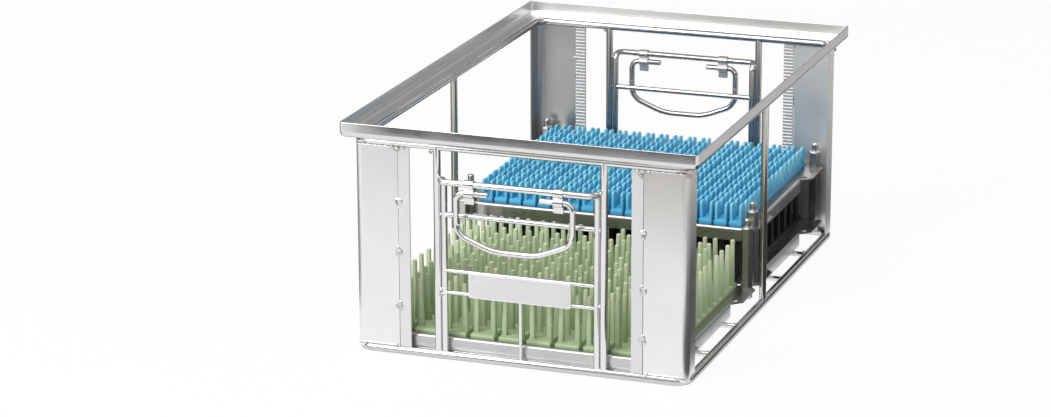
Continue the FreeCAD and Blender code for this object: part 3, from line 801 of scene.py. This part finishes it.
# Lift-out trays

def trays():
    for tray, finish in (
            ("front_tray", tray_steel), ("rear_tray", tray_steel), ("upper_tray", painted_shade_upper_tray)):
        smoothed_copy(tray, "folded_" + tray, finish, tray + "_set", 35, 0.0)


def stand_offs():
    """Hexagonal stand-offs with a turned chamfer, a groove and a stacking pin."""
    for tray, floor, height, side_y in (
            ("front_tray", LOWER_FLOOR, 72.0, -1), ("rear_tray", LOWER_FLOOR, 64.0, 1),
            ("upper_tray", UPPER_FLOOR, 19.5, 1)):
        top = floor + height
        hexagon = [(6.45, floor), (6.93, floor + 0.5), (6.93, top - 0.6), (6.3, top)]
        pin = [(4.9, top - 0.2), (4.9, top + 0.5), (3.2, top + 0.6), (3.2, top + 1.8),
               (3.75, top + 2.3), (3.75, top + 8.4), (3.4, top + 9.2), (2.35, top + 10)]
        bm = bmesh.new()
        for x in (-PIN_X, PIN_X):
            for y in (TRAY_NEAR + PIN_INSET, TRAY_FAR - PIN_INSET):
                turned_into(bm, (x, side_y * y), hexagon, 6)
                turned_into(bm, (x, side_y * y), pin)
        node = tray + "_stand_offs"
        piece = new_piece("hex_" + node, bm, pin_steel, (node,), tray + "_set", 30)
        soften(piece, 0.2, 1, 30)


def mat_tree():
    """Node tree of a finger mat: pairs of leaning fingers on bars, in strips and rows."""
    tree, takes, gives = node_group(
        "finger_mat", "GeometryNodeTree",
        (("Geometry", "Geometry"), ("Finger", "Object"), ("Bar", "Object"), ("Strips", "Int"),
         ("Rows", "Int"), ("Strip Span", "Float"), ("Row Span", "Float"), ("Leg Gap", "Float"),
         ("Centre", "Vector"), ("Bar Centre", "Vector"), ("Lean", "Float"), ("Seed", "Int"),
         ("Material", "Material")),
        (("Geometry", "Geometry"),))

    def moved(geometry, vector):
        inputs = {"Geometry": geometry, "Translation": vector}
        return add_node(tree, "GeometryNodeTransform", inputs).outputs["Geometry"]

    def along_x(value, factor):
        scaled = maths(tree, "MULTIPLY", value, factor)
        return add_node(tree, "ShaderNodeCombineXYZ", {"X": scaled}).outputs[0]

    grid = add_node(tree, "GeometryNodeMeshGrid", {
        "Size X": takes["Strip Span"], "Size Y": takes["Row Span"], "Vertices X": takes["Strips"],
        "Vertices Y": takes["Rows"]}).outputs["Mesh"]
    both_legs = add_node(tree, "GeometryNodeJoinGeometry", {
        "Geometry": [moved(grid, along_x(takes["Leg Gap"], factor)) for factor in (-0.5, 0.5)]})
    places = moved(both_legs.outputs["Geometry"], takes["Centre"])
    other_way = maths(tree, "MULTIPLY", takes["Lean"], -1.0)
    lean = random_value(tree, "FLOAT_VECTOR", {0: other_way, 1: takes["Lean"], "Seed": takes["Seed"]})[0]
    tone = random_value(tree, "FLOAT", {"Seed": takes["Seed"]})[1]
    fingers = add_node(tree, "GeometryNodeStoreNamedAttribute", {
        "Geometry": set_on_points(tree, places, takes["Finger"], Rotation=lean), "Name": "finger_tone",
        "Value": tone}, data_type="FLOAT", domain="INSTANCE")
    line = add_node(tree, "GeometryNodeMeshLine", {
        "Count": takes["Strips"], "Start Location": along_x(takes["Strip Span"], -0.5),
        "Offset": along_x(takes["Strip Span"], 0.5)}, mode="END_POINTS")
    bars = set_on_points(tree, moved(line.outputs["Mesh"], takes["Bar Centre"]), takes["Bar"])
    join_and_paint(tree, [fingers.outputs["Geometry"], bars, takes["Geometry"]], takes, gives)
    return tree


def blade_finger(width, depth, height):
    """Flat blade, standing on the origin: a little thinner at the top, with rounded upper corners."""
    chamfer, corner_radius, narrower = 0.45, 3.2, 0.18
    bm = bmesh.new()
    rings = []
    for x, inset in ((-width / 2, chamfer), (chamfer - width / 2, 0.0), (width / 2 - chamfer, 0.0),
                     (width / 2, chamfer)):
        half, top, corner = depth / 2 - inset, height - inset, corner_radius - inset
        outline = [(-half, 0.0), (half, 0.0)]
        for side, turns in ((1, (0, 30, 60, 90)), (-1, (90, 60, 30, 0))):
            outline += [(side * (half - corner + corner * math.cos(math.radians(a))),
                         top - corner + corner * math.sin(math.radians(a))) for a in turns]
        rings.append([bm.verts.new((x * (1 - narrower * z / height), y, z)) for y, z in outline])
    skin(bm, rings)
    return template("blade_finger", bm, 30)


def square_finger(foot, tip, height):
    """Square finger with slim chamfers, standing on the origin and narrower towards its blunt tip."""
    chamfer = 0.9
    bm = bmesh.new()
    rings = []
    for half, cut, z in ((foot + 0.5, chamfer, 0.0), (foot, chamfer, 2.2), (tip, chamfer * 0.8, height - 0.7),
                         (tip - 0.6, chamfer * 0.5, height)):
        corners = []
        for sx, sy, first in ((1, -1, 0), (1, 1, 1), (-1, 1, 0), (-1, -1, 1)):
            ends = [(sx * (half - cut), sy * half), (sx * half, sy * (half - cut))]
            corners += ends[::-1] if first else ends
        rings.append([bm.verts.new((x, y, z)) for x, y in corners])
    skin(bm, rings)
    return template("square_finger", bm, 30)


def mat_bar(name, width, length, height):
    """One bar of the mat's base, with soft upper edges."""
    bm = bmesh.new()
    box_into(bm, (-width / 2, -length / 2, 0), (width / 2, length / 2, height))
    edges = [e for e in bm.edges if min(v.co.z for v in e.verts) > height - 0.01]
    bmesh.ops.bevel(bm, geom=edges, offset=0.8, segments=2, affect="EDGES")
    return template(name, bm, 60)


def finger_mats():
    """Three mats, each with its bars and fingers over a thin slab."""
    tree = mat_tree()
    ends_clear, slab_inset_x, slab_inset_y, slab_share, overlap = 12.0, 8.0, 7.0, 0.3, 0.05
    length = TRAY_FAR - TRAY_NEAR - ends_clear
    middle = (TRAY_NEAR + TRAY_FAR) / 2
    square, blade = square_finger(3.0, 2.2, 53.0), blade_finger(3.4, 12.8, 19.0)
    # The last seven: strips, rows, pitch of the strips, gap between two legs, bar width and height, lean
    for colour, tray, finish, side_y, floor, finger, strips, rows, pitch, gap, bar_width, base, lean in (
            ("green", "front", green_silicone, -1, LOWER_FLOOR, square, 10, 13, 32.1, 19.4, 26.6, 4.5, 0.028),
            ("black", "rear", black_silicone, 1, LOWER_FLOOR, square, 9, 10, 35.0, 19.4, 26.6, 4.5, 0.028),
            ("blue", "upper", blue_silicone, 1, UPPER_FLOOR, blade, 18, 15, 17.6, 10.8, 14.4, 5.5, 0.02)):
        name = colour + "_mat"
        centre_y, reach, row_step = side_y * middle, strips * pitch / 2 - slab_inset_x, length / rows
        bm = bmesh.new()
        box_into(bm, (-reach, centre_y - length / 2 + slab_inset_y, floor),
                 (reach, centre_y + length / 2 - slab_inset_y, floor + base * slab_share))
        mesh = grown(name, mesh_from(name + "_slab", bm), tree, {
            "Finger": finger, "Bar": mat_bar(name + "_bar", bar_width, length, base),
            "Strips": strips, "Rows": rows, "Leg Gap": gap * MM,
            "Strip Span": (strips - 1) * pitch * MM, "Row Span": (rows - 1) * row_step * MM,
            "Centre": (0.0, centre_y * MM, (floor + base - overlap) * MM),
            "Bar Centre": (0.0, centre_y * MM, floor * MM), "Lean": lean, "Seed": 11, "Material": finish})
        new_piece(name, mesh, None, (colour + "_finger_mat",), tray + "_tray_set")


# Studio

def flat_sheet(name, corners, z, material):
    mesh = bpy.data.meshes.new(name)
    mesh.from_pydata([(x, y, z) for x, y in corners], [], [tuple(range(len(corners)))])
    mesh.materials.append(material)
    return placed(name, mesh)


def mirrored_cloth(name, corners, level):
    """A dark, grey or pale cloth that only reflections see, flat on the floor beside the carrier."""
    made, tree, shader = principled(name + "_cloth")
    patches = noise(tree, object_place(tree), 4.0)
    tree.links.new(blend_colour(tree, patches, (level,) * 3, (level * 0.7,) * 3), shader.inputs["Base Color"])
    shader.inputs["Roughness"].default_value = 1.0
    above_floor = 0.0008
    cloth = flat_sheet(name, corners, above_floor, made)
    cloth.visible_camera = cloth.visible_diffuse = cloth.visible_shadow = False
    cloth.visible_transmission = cloth.visible_volume_scatter = False


def pale_floor():
    """Floor that is white where it is seen or mirrored, and takes light and shadow as a pale surface."""
    made, tree, shader = principled("pale_floor")
    patches = noise(tree, object_place(tree), 3.0)
    tree.links.new(blend_colour(tree, patches, (0.93,) * 3, (0.90,) * 3), shader.inputs["Base Color"])
    shader.inputs["Roughness"].default_value = 0.9
    shader.inputs["Specular IOR Level"].default_value = 0.1
    glow = add_node(tree, "ShaderNodeEmission", {"Color": (1.0, 1.0, 1.0, 1.0)})
    rays = tree.nodes.new("ShaderNodeLightPath").outputs
    seen = maths(tree, "ADD", rays["Is Camera Ray"],
                 maths(tree, "ADD", rays["Is Glossy Ray"], rays["Is Transmission Ray"]), clamp=True)
    glow_share = 0.94
    white = add_node(tree, "ShaderNodeMixShader", {
        0: maths(tree, "MULTIPLY", seen, glow_share), 1: shader.outputs[0], 2: glow.outputs[0]})
    tree.links.new(white.outputs[0], tree.nodes["Material Output"].inputs["Surface"])
    size = 6.0
    floor = flat_sheet("studio_floor", ((-size, -size), (size, -size), (size, size), (-size, size)), 0, made)


def studio_light():
    """Two lamps, and a sky that is white to the camera, grey to matt surfaces and graded in mirrors."""
    world = bpy.data.worlds.new("studio_light")
    scene.world = world
    world.use_nodes = True
    tree = world.node_tree
    way = axes(tree, tree.nodes.new("ShaderNodeTexCoord").outputs["Generated"])

    def climb(stops):
        """Brightness by height above the horizon."""
        made = add_node(tree, "ShaderNodeValToRGB", {"Fac": way["Z"]})
        ramp = made.color_ramp
        for element, (position, level) in zip(ramp.elements, (stops[0], stops[-1])):
            element.position, element.color = position, (level,) * 3 + (1,)
        for position, level in stops[1:-1]:
            ramp.elements.new(position).color = (level, level, level * 1.01, 1)
        return made.outputs["Color"]

    before = climb(((0.0, 0.12), (0.18, 0.16), (0.27, 0.45), (0.34, 0.92), (0.60, 0.85), (0.80, 1.0),
                    (1.0, 0.8)))
    beyond = climb(((0.0, 0.12), (0.18, 0.16), (0.25, 0.42), (0.32, 0.60), (0.50, 0.42), (0.80, 0.36),
                    (1.0, 0.40)))
    around = blend_colour(tree, span(tree, way["Y"], -0.15, 0.10), before, beyond)
    rays = tree.nodes.new("ShaderNodeLightPath").outputs
    soft = blend_colour(tree, rays["Is Glossy Ray"], (0.40, 0.40, 0.40), around)
    straight = maths(tree, "ADD", rays["Is Camera Ray"], rays["Is Transmission Ray"], clamp=True)
    sky = tree.nodes["Background"]
    tree.links.new(blend_colour(tree, straight, soft, (1.0, 1.0, 1.0)), sky.inputs["Color"])
    sky.inputs["Strength"].default_value = 1.0

    for name, place, turn, size, power in (
            ("overhead_softbox", (-0.2, -0.8, 2.5), (0.31, 0.0, 0.0), 2.0, 27.0),
            ("front_left_softbox", (-1.9, -2.5, 1.7), (1.08, 0.0, -0.65), 1.8, 62.0)):
        lamp = bpy.data.lights.new(name, "AREA")
        lamp.shape, lamp.size, lamp.energy = "SQUARE", size, power
        holder = placed(name, lamp)
        holder.location = place
        holder.rotation_euler = turn


def photo_camera():
    """The camera as fitted to the photo's rim, rings and uprights."""
    camera_place = (1.1974, -3.5335, 1.2144)
    azimuth, elevation, roll = (math.radians(v) for v in (20.14, 16.67, -0.21))
    focal_pixels, picture_pixels = 3425.5, 1051
    back = Vector((math.sin(azimuth) * math.cos(elevation), -math.cos(azimuth) * math.cos(elevation),
                   math.sin(elevation)))
    right = Vector((0, 0, 1)).cross(back).normalized()
    up = back.cross(right)
    right, up = (right * math.cos(roll) + up * math.sin(roll), up * math.cos(roll) - right * math.sin(roll))
    lens = bpy.data.cameras.new("photo_camera")
    lens.sensor_fit = "HORIZONTAL"
    lens.sensor_width = 36.0
    lens.lens = focal_pixels / picture_pixels * lens.sensor_width
    lens.clip_start, lens.clip_end = 0.1, 50.0
    scene.camera = placed("photo_camera", lens)
    turn = Matrix((right, up, back)).transposed().to_4x4()
    scene.camera.matrix_world = Matrix.Translation(camera_place) @ turn
    scene.view_settings.view_transform = "Standard"


def studio():
    pale_floor()
    for name, corners, level in (
            ("front_flag", ((-0.505, -1.055), (1.6, -1.10), (1.6, -3.4), (-1.3, -3.4)), 0.05),
            ("right_flag", ((0.21, -0.45), (0.80, -0.55), (0.80, 0.20), (0.33, 0.35), (0.33, 1.1),
                            (0.21, 1.1)), 0.05),
            ("right_pale_cloth", ((0.33, 0.36), (0.80, 0.21), (0.95, 0.21), (0.95, 1.4), (0.33, 1.4)), 0.93),
            ("left_flag", ((-1.5, -0.50), (-0.42, -0.50), (-0.26, 0.0), (-0.26, 1.3), (-1.5, 1.3)), 0.26)):
        mirrored_cloth(name, corners, level)
    studio_light()
    photo_camera()


REPEAT = repeat_tree()
stacking_rim()
wire_rings()
for corner in CORNERS:
    corner_post(*corner)
    rack_strip(*corner)
upright_rods()
handle_frames()
drop_handles()
label_holder()
support_rods()
weld_marks()
trays()
stand_offs()
finger_mats()
studio()
